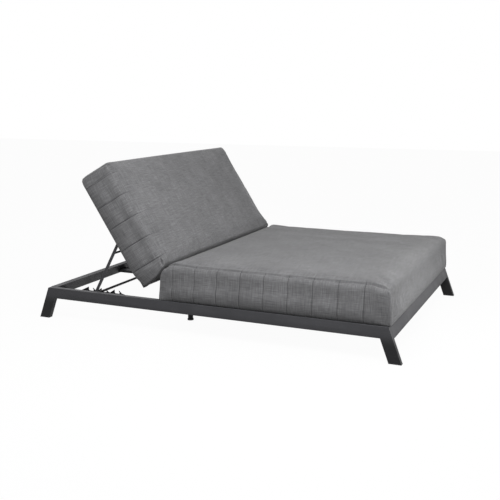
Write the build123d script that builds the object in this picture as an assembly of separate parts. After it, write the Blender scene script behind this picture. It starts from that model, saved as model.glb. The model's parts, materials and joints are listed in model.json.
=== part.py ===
from build123d import *
import math
import os

# Double chaise lounger: a low aluminium frame on splayed legs, a hinged back held up by a
# folding prop, and two thick cushions. Millimetres. X runs from the head (low) to the foot,
# Y across the width (the near side is low), Z up. The origin is on the floor under the
# middle of the frame. The back stands raised, with its prop in the middle notch.

os.makedirs("parts", exist_ok=True)

# Side frames: a rail and two legs of one flat tube on each side
frame_length = 2000.0
frame_width = 1494.0
deck_height = 182.6
rail_height = 61.0
rail_thickness = 30.0
tube_wall = 2.0
leg_splay = 20.6
leg_floor_width = 64.0
corner_radius = 8.0
edge_radius = 1.5

# Leg glides and support feet
glide_thickness = 4.5
plug_depth = 22.0
plug_clearance = 0.3

# Head and foot rails, whose section leans with the legs
end_rail_top_width = 40.0
end_rail_inner_run = 29.0

# Middle cross rail and the two legs under it
head_bay_length = 740.0
mid_rail_width = 60.0
support_leg_inset = 297.0
support_leg_diameter = 30.0
support_leg_wall = 1.5
support_foot_diameter = 36.0
support_foot_thickness = 8.0

# Centre beam, and the tubes that carry the racks
runner_height = 26.0
head_runner_rise = 9.0
beam_width = 80.0
carrier_width = 28.0

# Seat slats and the ledges under their ends
slat_width = 60.0
slat_thickness = 15.0
slat_wall = 1.5
seat_slat_count = 9
last_slat_gap = 10.0
ledge_width = 22.0
ledge_thickness = 3.0

# Hinge of the back: an arm with an eye on each side, between two plates on the cross rail
hinge_set_back = 71.1
hinge_drop = 9.0
hinge_inset = 297.0
recline_angle = 57.2
hinge_arm_thickness = 10.0
eye_radius = 7.7
hinge_plate_thickness = 5.0
hinge_plate_foot = 34.0
hinge_plate_margin = 4.0
hinge_plate_throat = 7.0
hinge_gap = 0.3
pin_radius = 4.0
pin_head_radius = 7.5
pin_head_thickness = 3.0
running_clearance = 0.05
bush_radius = 5.5
side_clearance = 0.2

# Back frame, measured up the slope from the hinge
stile_gap = 3.0
stile_width = 30.0
stile_low_end = 80.0
stile_high_end = 618.0
stile_cap_thickness = 4.0
back_deck_thickness = 16.7
cross_tube_width = 30.0
middle_tube_place = 235.0
back_slat_width = 50.0
back_slat_margin = 119.0
back_slat_count = 7

# Folding prop
pivot_up_slope = 374.7
pivot_drop = 17.0
prop_length = 366.1
prop_lean = 61.69
upper_bar_from_pivot = 85.7
strut_width = 16.0
strut_thickness = 6.0
lower_bar_diameter = 14.0
upper_bar_diameter = 12.0
bracket_inset = 6.0
bracket_thickness = 5.0
bracket_top_width = 58.0
bracket_foot_width = 26.0
bracket_foot_drop = 10.0
washer_thickness = 2.5
washer_radius = 9.0
pivot_pin_radius = 4.0
pivot_head_radius = 7.0
pivot_head_thickness = 3.0

# Racks, a notched plate on each side with three notches for the prop's lower bar
rack_inset = 115.0
rack_thickness = 5.0
rack_margin = 3.0
notch_count = 3
notch_pitch = 89.3
notch_seat_gap = 0.3
notch_back = 12.0
notch_front = 24.0
notch_corner = 5.0
hook_lean = 6.0
hook_rise = 18.0
hook_width = 13.0
saddle_rise = 2.0
tooth_rise = 21.5
ramp_length = 30.0
first_ramp_length = 50.0
rack_end_length = 20.0
screw_radius = 2.5
screw_head_radius = 5.0
screw_head_thickness = 2.6
screw_length = 10.0
screw_rise = 17.5
hole_clearance = 0.1

# Seat cushion
cushion_lift = 0.3
seat_rear_overhang = 2.0
seat_foot_overhang = 8.0
seat_cushion_thickness = 201.0
seat_crown = 9.0
seat_edge_crown = 0.8
seat_rear_round = 85.0
seat_side_inset = 3.0
seat_side_bulge = 5.0
seat_corner_round = 18.0
seat_foot_round = 22.0
seam_pitch = 132.5
seam_draw = 3.0
seam_half_width = 8.0
seat_first_seam = 77.0

# Back cushion, measured up the slope from the hinge
back_cushion_low = 76.6
back_cushion_length = 700.0
back_cushion_thickness = 190.0
back_crown = 8.0
back_side_inset = 3.0
back_side_bulge = 5.0
back_corner_round = 45.0
back_low_round = 12.0
heel_taper_length = 55.0
heel_taper_rise = 6.0
back_first_seam = 95.0
back_seam_count = 5
cushion_joint_gap = 1.5
heel_cut_angle = 25.8

# Places that follow from the sizes above
half_length = frame_length / 2
half_width = frame_width / 2
rail_bottom = deck_height - rail_height
rail_inner_y = half_width - rail_thickness
support_leg_y = half_width - support_leg_inset
rack_plane = rail_inner_y - rack_inset
splay_slope = math.tan(math.radians(leg_splay))
glide_outer_x = half_length + splay_slope * deck_height
leg_inner_x = glide_outer_x - leg_floor_width - splay_slope * rail_bottom
end_rail_inner_top = half_length - end_rail_top_width
end_rail_inner_slope = end_rail_inner_run / rail_height
runner_top = rail_bottom + runner_height
head_runner_heights = (rail_bottom + head_runner_rise, runner_top)
mid_rail_rear = head_bay_length - half_length
mid_rail_front = mid_rail_rear + mid_rail_width
mid_rail_centre = (mid_rail_rear + mid_rail_front) / 2
slat_bottom = deck_height - slat_thickness
last_slat_centre = end_rail_inner_top - last_slat_gap - slat_width / 2
overrun = frame_width
cushion_base = deck_height + cushion_lift

hinge_x = mid_rail_rear - hinge_set_back
hinge_y = half_width - hinge_inset
hinge_z = deck_height - hinge_drop

seat_cushion_rear = mid_rail_rear - seat_rear_overhang
seat_cushion_length = half_length + seat_foot_overhang - seat_cushion_rear
seat_half_width = half_width - seat_side_inset
back_half_width = seat_half_width - back_side_inset
seat_seam_count = int((seat_cushion_length - seat_first_seam - seat_foot_round) / seam_pitch) + 1

# Slope of the back: along is up the slope, out is square to it, towards the sitter
recline = math.radians(recline_angle)
along_x = -math.cos(recline)
along_z = math.sin(recline)
out_x = math.sin(recline)
out_z = math.cos(recline)
back_slope = Plane(origin=(hinge_x, 0, hinge_z), x_dir=(along_x, 0, along_z), z_dir=(out_x, 0, out_z))
back_deck_bottom = hinge_drop - back_deck_thickness
stile_outer_y = rail_inner_y - stile_gap
stile_inner_y = stile_outer_y - stile_width
outer_slat_y = stile_inner_y - back_slat_margin - back_slat_width / 2
back_slat_pitch = 2 * outer_slat_y / (back_slat_count - 1)
lower_tube_place = stile_low_end + cross_tube_width / 2
upper_tube_place = stile_high_end - cross_tube_width / 2

# Prop's line: it leans back from its pivot to the notch
lean = math.radians(prop_lean)
pivot_x = hinge_x + pivot_up_slope * along_x - pivot_drop * out_x
pivot_z = hinge_z + pivot_up_slope * along_z - pivot_drop * out_z
prop_x = -math.cos(lean)
prop_z = -math.sin(lean)
prop_line = Plane(origin=(pivot_x, 0, pivot_z), x_dir=(prop_x, 0, prop_z), z_dir=(-prop_z, 0, prop_x))
lower_bar_x = pivot_x + prop_length * prop_x
lower_bar_z = pivot_z + prop_length * prop_z
bracket_outer_y = stile_inner_y + bracket_inset
bracket_inner_y = bracket_outer_y - bracket_thickness
strut_outer_y = bracket_inner_y - washer_thickness - side_clearance
strut_inner_y = strut_outer_y - strut_thickness
notch_bottom = lower_bar_z - lower_bar_diameter / 2 - notch_seat_gap

sides = (("near", -1), ("far", 1))
ends = (("head", -1), ("foot", 1))


def save(name, pieces):
    """Write one named piece, or a group of like pieces, to its own file."""
    solids = [solid for piece in pieces for solid in piece.solids()]
    shape = solids[0] if len(solids) == 1 else Compound(solids)
    export_step(shape, f"parts/{name}.step")


def prism(outline, y_one, y_two):
    """A solid between two planes across Y, from an outline of (x, z) points."""
    low, high = sorted((y_one, y_two))
    path = Polyline(*[(x, low, z) for x, z in outline], close=True)
    return extrude(make_face(path.edges()), amount=high - low, dir=(0, 1, 0))


def block(x_span, y_span, z_span):
    """A block between pairs of coordinates, in any order."""
    lows = [min(span) for span in (x_span, y_span, z_span)]
    sizes = [max(span) - min(span) for span in (x_span, y_span, z_span)]
    corner = (Align.MIN, Align.MIN, Align.MIN)
    return Pos(*lows) * Box(*sizes, align=corner)


def rod(x, z, radius, y_one, y_two):
    """A round bar across the frame, between two Y planes."""
    low, high = sorted((y_one, y_two))
    bar = Cylinder(radius, high - low, align=(Align.CENTER, Align.CENTER, Align.MIN))
    return Pos(x, low, z) * Rot(-90, 0, 0) * bar


def mirror_ends(outline, end):
    """An outline drawn for the foot end, turned to the end asked for."""
    return [(end * x, z) for x, z in outline]


def side_frame(side):
    """The whole outline of one side: rail and both legs, with sharp top corners."""
    leg_inner_floor = glide_outer_x - leg_floor_width
    half = [
        (leg_inner_x, rail_bottom),
        (leg_inner_floor, 0),
        (glide_outer_x, 0),
        (half_length, deck_height),
    ]
    outline = mirror_ends(half, 1) + mirror_ends(reversed(half), -1)
    low = min(side * half_width, side * rail_inner_y)
    path = Polyline(*[(x, low, z) for x, z in outline], close=True)
    return extrude(make_face(path.edges()), amount=rail_thickness, dir=(0, 1, 0))


def rounded_frame(side):
    """A side frame with its two top corners rounded, which trims the pieces' corners."""
    solid = side_frame(side)
    top_edges = [
        edge for edge in solid.edges().filter_by(Axis.Y)
        if abs(edge.center().Z - deck_height) < rail_thickness / 2
    ]
    return fillet(top_edges, corner_radius)


def softened(solid, least_length):
    """A solid with a small round along each of its edges longer than a length."""
    return fillet([edge for edge in solid.edges() if edge.length > least_length], edge_radius)


def rail_region():
    """The trapezoid, mitred at both ends, that the rail takes from a side frame."""
    slope = (half_length - leg_inner_x) / rail_height
    top = half_length + slope * rail_height
    half = [(leg_inner_x, rail_bottom), (top, deck_height + rail_height)]
    outline = mirror_ends(half, 1) + mirror_ends(reversed(half), -1)
    return prism(outline, -overrun, overrun)


def side_rail(side):
    """A side rail, hollow along its length and open at its mitres."""
    solid = softened(side_frame(side) & rail_region(), half_length) & rounded_frame(side)
    inner = (side * (half_width - tube_wall), side * (rail_inner_y + tube_wall))
    return solid - block((-overrun, overrun), inner, (rail_bottom + tube_wall, deck_height - tube_wall))


def leg(end, side):
    """A splayed leg, hollow from its mitre to its glide."""
    floor_cut = block((-overrun, overrun), (-overrun, overrun), (-overrun, glide_thickness))
    half_space = block((0, end * overrun), (-overrun, overrun), (-overrun, overrun))
    below_rail = (side_frame(side) & half_space) - rail_region() - floor_cut
    solid = softened(below_rail, rail_height + rail_thickness) & rounded_frame(side)
    wall_run = tube_wall / math.cos(math.radians(leg_splay))
    return solid - leg_bore(end, side, wall_run, tube_wall, rail_height + deck_height)


def leg_bore(end, side, run_inset, y_inset, top):
    """The leaning column inside a leg, inset from its walls, up to a height."""
    outer = glide_outer_x - run_inset
    inner = glide_outer_x - leg_floor_width + run_inset
    outline = [(inner, 0), (outer, 0), (outer - splay_slope * top, top), (inner - splay_slope * top, top)]
    y_span = (side * (half_width - y_inset), side * (rail_inner_y + y_inset))
    return prism(mirror_ends(outline, end), *y_span)


def leg_glide(end, side):
    """A plastic glide: a sole under the leg and a plug inside it."""
    sole = leg_bore(end, side, 0, 0, glide_thickness)
    wall_run = (tube_wall + plug_clearance) / math.cos(math.radians(leg_splay))
    plug = leg_bore(end, side, wall_run, tube_wall + plug_clearance, glide_thickness + plug_depth)
    return sole + plug


def end_rail(end):
    """The head or foot rail, a leaning hollow section between the side rails."""
    def section(inset):
        low = rail_bottom + inset
        high = deck_height - inset
        outer_low = half_length + splay_slope * (deck_height - low) - inset
        outer_high = half_length + splay_slope * inset - inset
        inner_low = end_rail_inner_top + end_rail_inner_slope * (deck_height - low) + inset
        inner_high = end_rail_inner_top + end_rail_inner_slope * inset + inset
        return [(inner_low, low), (outer_low, low), (outer_high, high), (inner_high, high)]

    shell = prism(mirror_ends(section(0), end), -rail_inner_y, rail_inner_y)
    return shell - prism(mirror_ends(section(tube_wall), end), -overrun, overrun)


def end_rail_space(end):
    """All that lies beyond the inner face of an end rail."""
    reach = end_rail_inner_slope * rail_height
    outline = [
        (end_rail_inner_top + reach, rail_bottom),
        (end_rail_inner_top, deck_height),
        (end_rail_inner_top + overrun, deck_height),
        (end_rail_inner_top + overrun, rail_bottom),
    ]
    return prism(mirror_ends(outline, end), -overrun, overrun)


def runner(end, x_start, y_span, z_span):
    """A tube along the frame, from the middle cross rail to an end rail."""
    y_low, y_high = sorted(y_span)
    bottom, top = z_span
    whole = block((x_start, end * half_length), (y_low, y_high), (bottom, top))
    bore = block(
        (-overrun, overrun),
        (y_low + tube_wall, y_high - tube_wall),
        (bottom + tube_wall, top - tube_wall),
    )
    return whole - end_rail_space(end) - bore


def mid_cross_rail():
    """The cross rail between the seat and the back, with seats for two legs below."""
    shell = block((mid_rail_rear, mid_rail_front), (-rail_inner_y, rail_inner_y), (rail_bottom, slat_bottom))
    bore = block(
        (mid_rail_rear + tube_wall, mid_rail_front - tube_wall),
        (-overrun, overrun),
        (rail_bottom + tube_wall, slat_bottom - tube_wall),
    )
    return shell - bore


def upright(x, y, radius, z_low, z_high):
    """A round post between two heights."""
    post = Cylinder(radius, z_high - z_low, align=(Align.CENTER, Align.CENTER, Align.MIN))
    return Pos(x, y, z_low) * post


def support_leg(side):
    """A round tube under the middle cross rail."""
    radius = support_leg_diameter / 2
    span = (support_foot_thickness, rail_bottom)
    place = (mid_rail_centre, side * support_leg_y)
    return upright(*place, radius, *span) - upright(*place, radius - support_leg_wall, *span)


def support_foot(side):
    """A plastic foot: a disc under the support leg and a plug inside it."""
    place = (mid_rail_centre, side * support_leg_y)
    plug_radius = support_leg_diameter / 2 - support_leg_wall - plug_clearance
    disc = upright(*place, support_foot_diameter / 2, 0, support_foot_thickness)
    return disc + upright(*place, plug_radius, 0, support_foot_thickness + plug_depth)


def carrier_span(side):
    """The Y planes of a rack carrier."""
    return (side * rack_plane, side * (rack_plane + carrier_width))


def screw_places():
    """X places of the screws that hold a rack, one beyond each notch."""
    first = lower_bar_x - notch_pitch + notch_front + hook_width
    return [first + index * notch_pitch for index in range(notch_count)]


def screw_holes(side):
    """Holes for the rack screws, through the rack and the carrier's wall."""
    z = rail_bottom + screw_rise
    y_span = (side * (rack_plane - 2 * rack_thickness), side * (rack_plane + screw_length))
    return [rod(x, z, screw_radius + hole_clearance, *y_span) for x in screw_places()]


def rack_screws():
    """The screws of both racks, head inboard, shank in the carrier's wall."""
    pieces = []
    z = rail_bottom + screw_rise
    for _, side in sides:
        face = side * (rack_plane - rack_thickness)
        for x in screw_places():
            head = rod(x, z, screw_head_radius, face, face - side * screw_head_thickness)
            shank = rod(x, z, screw_radius, face, face + side * screw_length)
            pieces.append(head + shank)
    return pieces


def rack(side):
    """A notched plate: three teeth with a wall behind each notch and a hook before it."""
    bottom = rail_bottom + rack_margin
    runner_line = runner_top - notch_seat_gap
    axis = lower_bar_x - notch_pitch
    head_end = axis - notch_back - first_ramp_length
    outline = [(head_end, bottom), (head_end, runner_line)]
    for index in range(notch_count):
        wall = axis - notch_back
        foot = axis + notch_front
        outline += [
            (wall, notch_bottom + tooth_rise),
            (wall, notch_bottom + notch_corner),
            (wall + notch_corner, notch_bottom),
            (foot - notch_corner, notch_bottom),
            (foot, notch_bottom + notch_corner),
            (foot - hook_lean, notch_bottom + hook_rise),
            (foot + hook_width, notch_bottom + saddle_rise),
        ]
        axis += notch_pitch
        if index < notch_count - 1:
            outline.append((axis - notch_back - ramp_length, notch_bottom + saddle_rise))
    foot_end = axis - notch_pitch + notch_front + hook_width + rack_end_length
    outline += [(foot_end, runner_line), (foot_end, bottom)]
    solid = prism(outline, side * (rack_plane - rack_thickness), side * rack_plane)
    for hole in screw_holes(side):
        solid -= hole
    return solid


def rack_carrier(side):
    """The tube that carries a rack, from the head rail to the middle cross rail."""
    solid = runner(-1, mid_rail_rear, carrier_span(side), head_runner_heights)
    for hole in screw_holes(side):
        solid -= hole
    return solid


def seat_slat(index):
    """A hollow slat across the frame, its ends against the side rails."""
    pitch = (last_slat_centre - mid_rail_centre) / (seat_slat_count - 1)
    centre = mid_rail_centre + index * pitch
    x_span = (centre - slat_width / 2, centre + slat_width / 2)
    bore_span = (x_span[0] + slat_wall, x_span[1] - slat_wall)
    shell = block(x_span, (-rail_inner_y, rail_inner_y), (slat_bottom, deck_height))
    return shell - block(bore_span, (-overrun, overrun), (slat_bottom + slat_wall, deck_height - slat_wall))


def slat_ledge(side):
    """A strip on a side rail that carries the ends of the slats."""
    y_span = (side * rail_inner_y, side * (rail_inner_y - ledge_width))
    x_span = (mid_rail_front, last_slat_centre + slat_width / 2)
    return block(x_span, y_span, (slat_bottom - ledge_thickness, slat_bottom))


def hinge_plates(side):
    """The two plates on the cross rail that hold a hinge pin, clear of the folded prop."""
    foot_top = hinge_z + eye_radius
    outline = [
        (mid_rail_rear, rail_bottom + hinge_plate_margin),
        (mid_rail_rear - hinge_plate_foot, rail_bottom + hinge_plate_margin),
        (hinge_x + hinge_plate_throat, hinge_z - eye_radius),
        (hinge_x, hinge_z - eye_radius),
        (hinge_x, foot_top),
        (mid_rail_rear, foot_top),
    ]
    pieces = []
    inner = hinge_arm_thickness / 2 + hinge_gap
    for outward in (-1, 1):
        y_span = (
            side * hinge_y + outward * inner,
            side * hinge_y + outward * (inner + hinge_plate_thickness),
        )
        plate = prism(outline, *y_span) + rod(hinge_x, hinge_z, eye_radius, *y_span)
        pieces.append(plate - rod(hinge_x, hinge_z, pin_radius, *y_span))
    return pieces


def hinge_pin(side):
    """A pin through both plates, with a head at one end and riveted over at the other."""
    reach = hinge_arm_thickness / 2 + hinge_gap + hinge_plate_thickness
    centre = side * hinge_y
    pin = rod(hinge_x, hinge_z, pin_radius, centre - reach, centre + reach)
    for outward in (-1, 1):
        face = centre + outward * reach
        pin += rod(hinge_x, hinge_z, pin_head_radius, face, face + outward * pin_head_thickness)
    return pin


def hinge_span(side):
    """The Y planes of a hinge arm."""
    return (side * hinge_y - hinge_arm_thickness / 2, side * hinge_y + hinge_arm_thickness / 2)


def hinge_arm(side):
    """An arm from the back's lower tube down to its eye, bored for the bush."""
    bar = block((0, stile_low_end), hinge_span(-side), (back_deck_bottom, hinge_drop))
    eye = rod(hinge_x, hinge_z, eye_radius, *hinge_span(side))
    trimmed = bar - block((-overrun, eye_radius), hinge_span(-side), (eye_radius, overrun))
    return on_back(trimmed) + eye - rod(hinge_x, hinge_z, bush_radius, *hinge_span(side))


def hinge_bush(side):
    """A plastic sleeve in the arm's eye, turning on the hinge pin."""
    span = hinge_span(side)
    return rod(hinge_x, hinge_z, bush_radius, *span) - rod(hinge_x, hinge_z, pin_radius + running_clearance, *span)


def on_back(piece):
    """A piece drawn flat, with its X up the slope, moved to the raised back."""
    return back_slope.location * piece


def stile(side):
    """A hollow side tube of the back, open at both ends."""
    y_span = (side * stile_inner_y, side * stile_outer_y)
    tube = block((stile_low_end, stile_high_end), y_span, (back_deck_bottom, hinge_drop))
    inner_y = (side * (stile_inner_y + slat_wall), side * (stile_outer_y - slat_wall))
    bore = block((-overrun, overrun), inner_y, (back_deck_bottom + slat_wall, hinge_drop - slat_wall))
    return on_back(tube - bore)


def stile_end_caps():
    """Plastic caps in the four open ends of the stiles."""
    inset = slat_wall + plug_clearance
    pieces = []
    for _, side in sides:
        y_span = (side * stile_inner_y, side * stile_outer_y)
        plug_y = (side * (stile_inner_y + inset), side * (stile_outer_y - inset))
        for end_place, outward in ((stile_low_end, -1), (stile_high_end, 1)):
            rim = end_place + outward * stile_cap_thickness
            depth = end_place - outward * plug_depth
            plate = block((end_place, rim), y_span, (back_deck_bottom, hinge_drop))
            plug = block((end_place, depth), plug_y, (back_deck_bottom + inset, hinge_drop - inset))
            pieces.append(on_back(plate + plug))
    return pieces


def cross_tube(place):
    """A hollow tube between the stiles."""
    x_span = (place - cross_tube_width / 2, place + cross_tube_width / 2)
    bore_x = (x_span[0] + slat_wall, x_span[1] - slat_wall)
    shell = block(x_span, (-stile_inner_y, stile_inner_y), (back_deck_bottom, hinge_drop))
    bore = block(bore_x, (-overrun, overrun), (back_deck_bottom + slat_wall, hinge_drop - slat_wall))
    return on_back(shell - bore)


def back_slats(low_tube, high_tube):
    """The slats that run up the slope between two cross tubes."""
    x_span = (low_tube + cross_tube_width / 2, high_tube - cross_tube_width / 2)
    pieces = []
    for index in range(back_slat_count):
        centre = (index - (back_slat_count - 1) / 2) * back_slat_pitch
        y_span = (centre - back_slat_width / 2, centre + back_slat_width / 2)
        bore_y = (y_span[0] + slat_wall, y_span[1] - slat_wall)
        shell = block(x_span, y_span, (back_deck_bottom, hinge_drop))
        bore = block(
            (-overrun, overrun), bore_y, (back_deck_bottom + slat_wall, hinge_drop - slat_wall)
        )
        pieces.append(on_back(shell - bore))
    return pieces


def prop_brackets():
    """The lugs under the stiles that hold the prop's pivot pins."""
    foot_z = -pivot_drop - bracket_foot_drop
    outline = [
        (pivot_up_slope - bracket_top_width / 2, back_deck_bottom),
        (pivot_up_slope - bracket_foot_width / 2, foot_z),
        (pivot_up_slope + bracket_foot_width / 2, foot_z),
        (pivot_up_slope + bracket_top_width / 2, back_deck_bottom),
    ]
    pieces = []
    for _, side in sides:
        y_span = (side * bracket_inner_y, side * bracket_outer_y)
        plate = on_back(prism(outline, -y_span[0], -y_span[1]))
        pieces.append(plate - rod(pivot_x, pivot_z, pivot_pin_radius, *y_span))
    return pieces


def prop_pins():
    """Headed pivot pins, fast in their brackets, on which the struts turn."""
    pieces = []
    head_face = strut_inner_y - side_clearance
    for _, side in sides:
        shank = rod(pivot_x, pivot_z, pivot_pin_radius, side * head_face, side * bracket_outer_y)
        head_end = side * (head_face - pivot_head_thickness)
        pieces.append(shank + rod(pivot_x, pivot_z, pivot_head_radius, side * head_face, head_end))
    return pieces


def prop_washers():
    """The plastic washers between the brackets and the struts."""
    pieces = []
    bore = pivot_pin_radius + running_clearance
    for _, side in sides:
        y_span = (side * strut_outer_y, side * (strut_outer_y + washer_thickness))
        ring = rod(pivot_x, pivot_z, washer_radius, *y_span) - rod(pivot_x, pivot_z, bore, *y_span)
        pieces.append(ring)
    return pieces


def prop_strut(side):
    """A flat strut with round ends, from the pivot to the lower bar."""
    y_span = (side * strut_inner_y, side * strut_outer_y)
    bar = block((0, prop_length), y_span, (-strut_width / 2, strut_width / 2))
    solid = prop_line.location * bar
    for x, z in ((pivot_x, pivot_z), (lower_bar_x, lower_bar_z)):
        solid += rod(x, z, strut_width / 2, *y_span)
    return solid - rod(pivot_x, pivot_z, pivot_pin_radius + running_clearance, *y_span)


def prop_bar(from_pivot, diameter):
    """A round bar between the struts, at a distance along them."""
    x = pivot_x + from_pivot * prop_x
    z = pivot_z + from_pivot * prop_z
    return rod(x, z, diameter / 2, -strut_inner_y, strut_inner_y)


def round_loss(distance, radius):
    """How far a quarter-round edge falls back, at a distance from where it ends."""
    if distance >= radius:
        return 0.0
    return radius - math.sqrt(radius ** 2 - (radius - distance) ** 2)


def cushion_section(x, half, bottom, top, bulge, crown):
    """A cushion's outline at one station: flat base, bowed sides, crowned top."""
    middle = (bottom + top) / 2
    near_low = (x, -half, bottom)
    far_low = (x, half, bottom)
    far_top = (x, half, top)
    near_top = (x, -half, top)
    return make_face([
        Line(near_low, far_low),
        ThreePointArc(far_low, (x, half + bulge, middle), far_top),
        ThreePointArc(far_top, (x, 0, top + crown), near_top),
        ThreePointArc(near_top, (x, -half - bulge, middle), near_low),
    ])


def seam_stations(first, count):
    """Stations of the sewn channels: each a narrow dip between two full sections."""
    stations = []
    for index in range(count):
        seam = first + index * seam_pitch
        stations += [(seam - seam_half_width, 0), (seam, seam_draw), (seam + seam_half_width, 0)]
    return stations


def seat_cushion():
    """The seat cushion: rounded rear top edge, crowned top and channelled sides."""
    length = seat_cushion_length
    round_steps = [seat_rear_round * (1 - math.cos(math.radians(angle))) for angle in (0, 20, 40, 55)]
    stations = [(step, 0) for step in round_steps]
    stations += seam_stations(seat_first_seam, seat_seam_count)
    foot_steps = [seat_foot_round * (1 - math.cos(math.radians(angle))) for angle in (90, 50, 20, 0)]
    stations += [(length - step, 0) for step in foot_steps]
    sections = []
    for place, draw in stations:
        foot_loss = round_loss(length - place, seat_foot_round)
        corner_loss = round_loss(place, seat_corner_round)
        half = seat_half_width - draw - foot_loss - corner_loss
        top = cushion_base + seat_cushion_thickness - round_loss(place, seat_rear_round) - foot_loss
        crown = seat_edge_crown + (seat_crown - seat_edge_crown) * min(1, place / seat_rear_round) ** 2
        x = seat_cushion_rear + place
        sections.append(cushion_section(x, half, cushion_base + foot_loss, top, seat_side_bulge, crown))
    return loft(sections, ruled=True)


def back_cushion():
    """The back cushion: round shoulders, channelled sides, its heel shaped to clear the seat."""
    base = hinge_drop + cushion_lift
    stations = [(step, 0) for step in (0, back_low_round, heel_taper_length)]
    stations += seam_stations(back_first_seam, back_seam_count)
    head_steps = [back_corner_round * (1 - math.cos(math.radians(angle))) for angle in (90, 60, 35, 12, 0)]
    stations += [(back_cushion_length - step, 0) for step in head_steps]
    sections = []
    for place, draw in stations:
        left = back_cushion_length - place
        low_loss = round_loss(place, back_low_round)
        head_loss = round_loss(left, back_corner_round)
        half = back_half_width - draw - head_loss - low_loss
        top = base + back_cushion_thickness - head_loss / 2 - low_loss
        taper = heel_taper_rise * max(0, 1 - place / heel_taper_length)
        bottom = base + taper + head_loss / 2
        along_slope = back_cushion_low + place
        sections.append(cushion_section(along_slope, half, bottom, top, back_side_bulge, back_crown))
    return on_back(loft(sections, ruled=True) - heel_space())


def heel_space():
    """The wedge left free for the seat cushion's round rear edge, square to its radius."""
    round_x = seat_cushion_rear + seat_rear_round - hinge_x
    round_z = cushion_base + seat_cushion_thickness - seat_rear_round - hinge_z
    centre_along = round_x * along_x + round_z * along_z
    centre_out = round_x * out_x + round_z * out_z
    reach = seat_rear_round + cushion_joint_gap
    cut = math.radians(heel_cut_angle)
    cut_plane = Plane(
        origin=(centre_along, 0, centre_out),
        x_dir=(math.sin(cut), 0, math.cos(cut)),
        z_dir=(math.cos(cut), 0, -math.sin(cut)),
    )
    wedge = block((-overrun, overrun), (-overrun, overrun), (-overrun, reach))
    return cut_plane.location * wedge


for side_name, side in sides:
    save(f"side_rail_{side_name}", [side_rail(side)])
    for end_name, end in ends:
        save(f"leg_{end_name}_{side_name}", [leg(end, side)])
        save(f"glide_{end_name}_{side_name}", [leg_glide(end, side)])
    save(f"support_leg_{side_name}", [support_leg(side)])
    save(f"support_foot_{side_name}", [support_foot(side)])
    save(f"rack_carrier_{side_name}", [rack_carrier(side)])
    save(f"rack_{side_name}", [rack(side)])
    save(f"hinge_plates_{side_name}", hinge_plates(side))
    save(f"hinge_pin_{side_name}", [hinge_pin(side)])
    save(f"hinge_arm_{side_name}", [hinge_arm(side)])
    save(f"hinge_bush_{side_name}", [hinge_bush(side)])
    save(f"stile_{side_name}", [stile(side)])
    save(f"prop_strut_{side_name}", [prop_strut(side)])

for end_name, end in ends:
    save(f"{end_name}_rail", [end_rail(end)])

beam_span = (-beam_width / 2, beam_width / 2)
save("mid_cross_rail", [mid_cross_rail()])
save("centre_beam_head", [runner(-1, mid_rail_rear, beam_span, head_runner_heights)])
save("centre_beam_foot", [runner(1, mid_rail_front, beam_span, (rail_bottom, slat_bottom))])
save("rack_screws", rack_screws())
save("slat_ledges", [slat_ledge(side) for _, side in sides])
for slat_index in range(seat_slat_count):
    save(f"seat_slat_{slat_index + 1}", [seat_slat(slat_index)])

save("back_tube_lower", [cross_tube(lower_tube_place)])
save("back_tube_middle", [cross_tube(middle_tube_place)])
save("back_tube_upper", [cross_tube(upper_tube_place)])
save("back_slats_lower", back_slats(lower_tube_place, middle_tube_place))
save("back_slats_upper", back_slats(middle_tube_place, upper_tube_place))
save("stile_end_caps", stile_end_caps())

save("prop_lower_bar", [prop_bar(prop_length, lower_bar_diameter)])
save("prop_upper_bar", [prop_bar(upper_bar_from_pivot, upper_bar_diameter)])
save("prop_brackets", prop_brackets())
save("prop_pins", prop_pins())
save("prop_washers", prop_washers())

save("seat_cushion", [seat_cushion()])
save("back_cushion", [back_cushion()])
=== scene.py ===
import json
import math

import bpy
import numpy as np
from bpy.props import FloatProperty, FloatVectorProperty, IntProperty, PointerProperty
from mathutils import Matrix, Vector


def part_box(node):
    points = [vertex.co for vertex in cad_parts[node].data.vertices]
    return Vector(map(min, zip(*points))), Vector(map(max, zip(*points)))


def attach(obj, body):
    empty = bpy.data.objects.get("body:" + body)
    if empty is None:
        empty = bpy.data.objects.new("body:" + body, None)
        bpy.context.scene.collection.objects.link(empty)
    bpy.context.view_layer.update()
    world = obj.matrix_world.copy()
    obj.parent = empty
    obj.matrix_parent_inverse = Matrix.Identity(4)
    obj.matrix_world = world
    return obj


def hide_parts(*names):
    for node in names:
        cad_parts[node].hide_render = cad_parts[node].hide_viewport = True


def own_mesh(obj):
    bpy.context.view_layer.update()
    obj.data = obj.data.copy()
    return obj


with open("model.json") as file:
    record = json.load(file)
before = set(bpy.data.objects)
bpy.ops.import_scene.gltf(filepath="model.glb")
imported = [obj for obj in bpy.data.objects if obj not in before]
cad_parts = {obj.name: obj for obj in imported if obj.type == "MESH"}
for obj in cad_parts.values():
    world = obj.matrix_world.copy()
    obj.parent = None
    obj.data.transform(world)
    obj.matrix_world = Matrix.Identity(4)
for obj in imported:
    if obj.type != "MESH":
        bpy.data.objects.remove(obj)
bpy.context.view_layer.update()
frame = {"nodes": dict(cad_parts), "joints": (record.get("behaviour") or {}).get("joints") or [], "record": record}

bl_info = {
    "name": "Double Chaise Lounger",
    "version": (1, 0, 0),
    "blender": (4, 5, 0),
    "location": "View3D > Sidebar > Lounger",
    "description": "Dresses the lounger's frame in powder coat and lays its two padded cushions on it",
    "category": "Object",
}

# The cloth map holds lengths in metres, and two shifts tell its end faces and broad faces from its sides
CLOTH_MAP = "cloth_metres"
END_SHIFT = 10.0
FACE_SHIFT = 20.0

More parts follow.
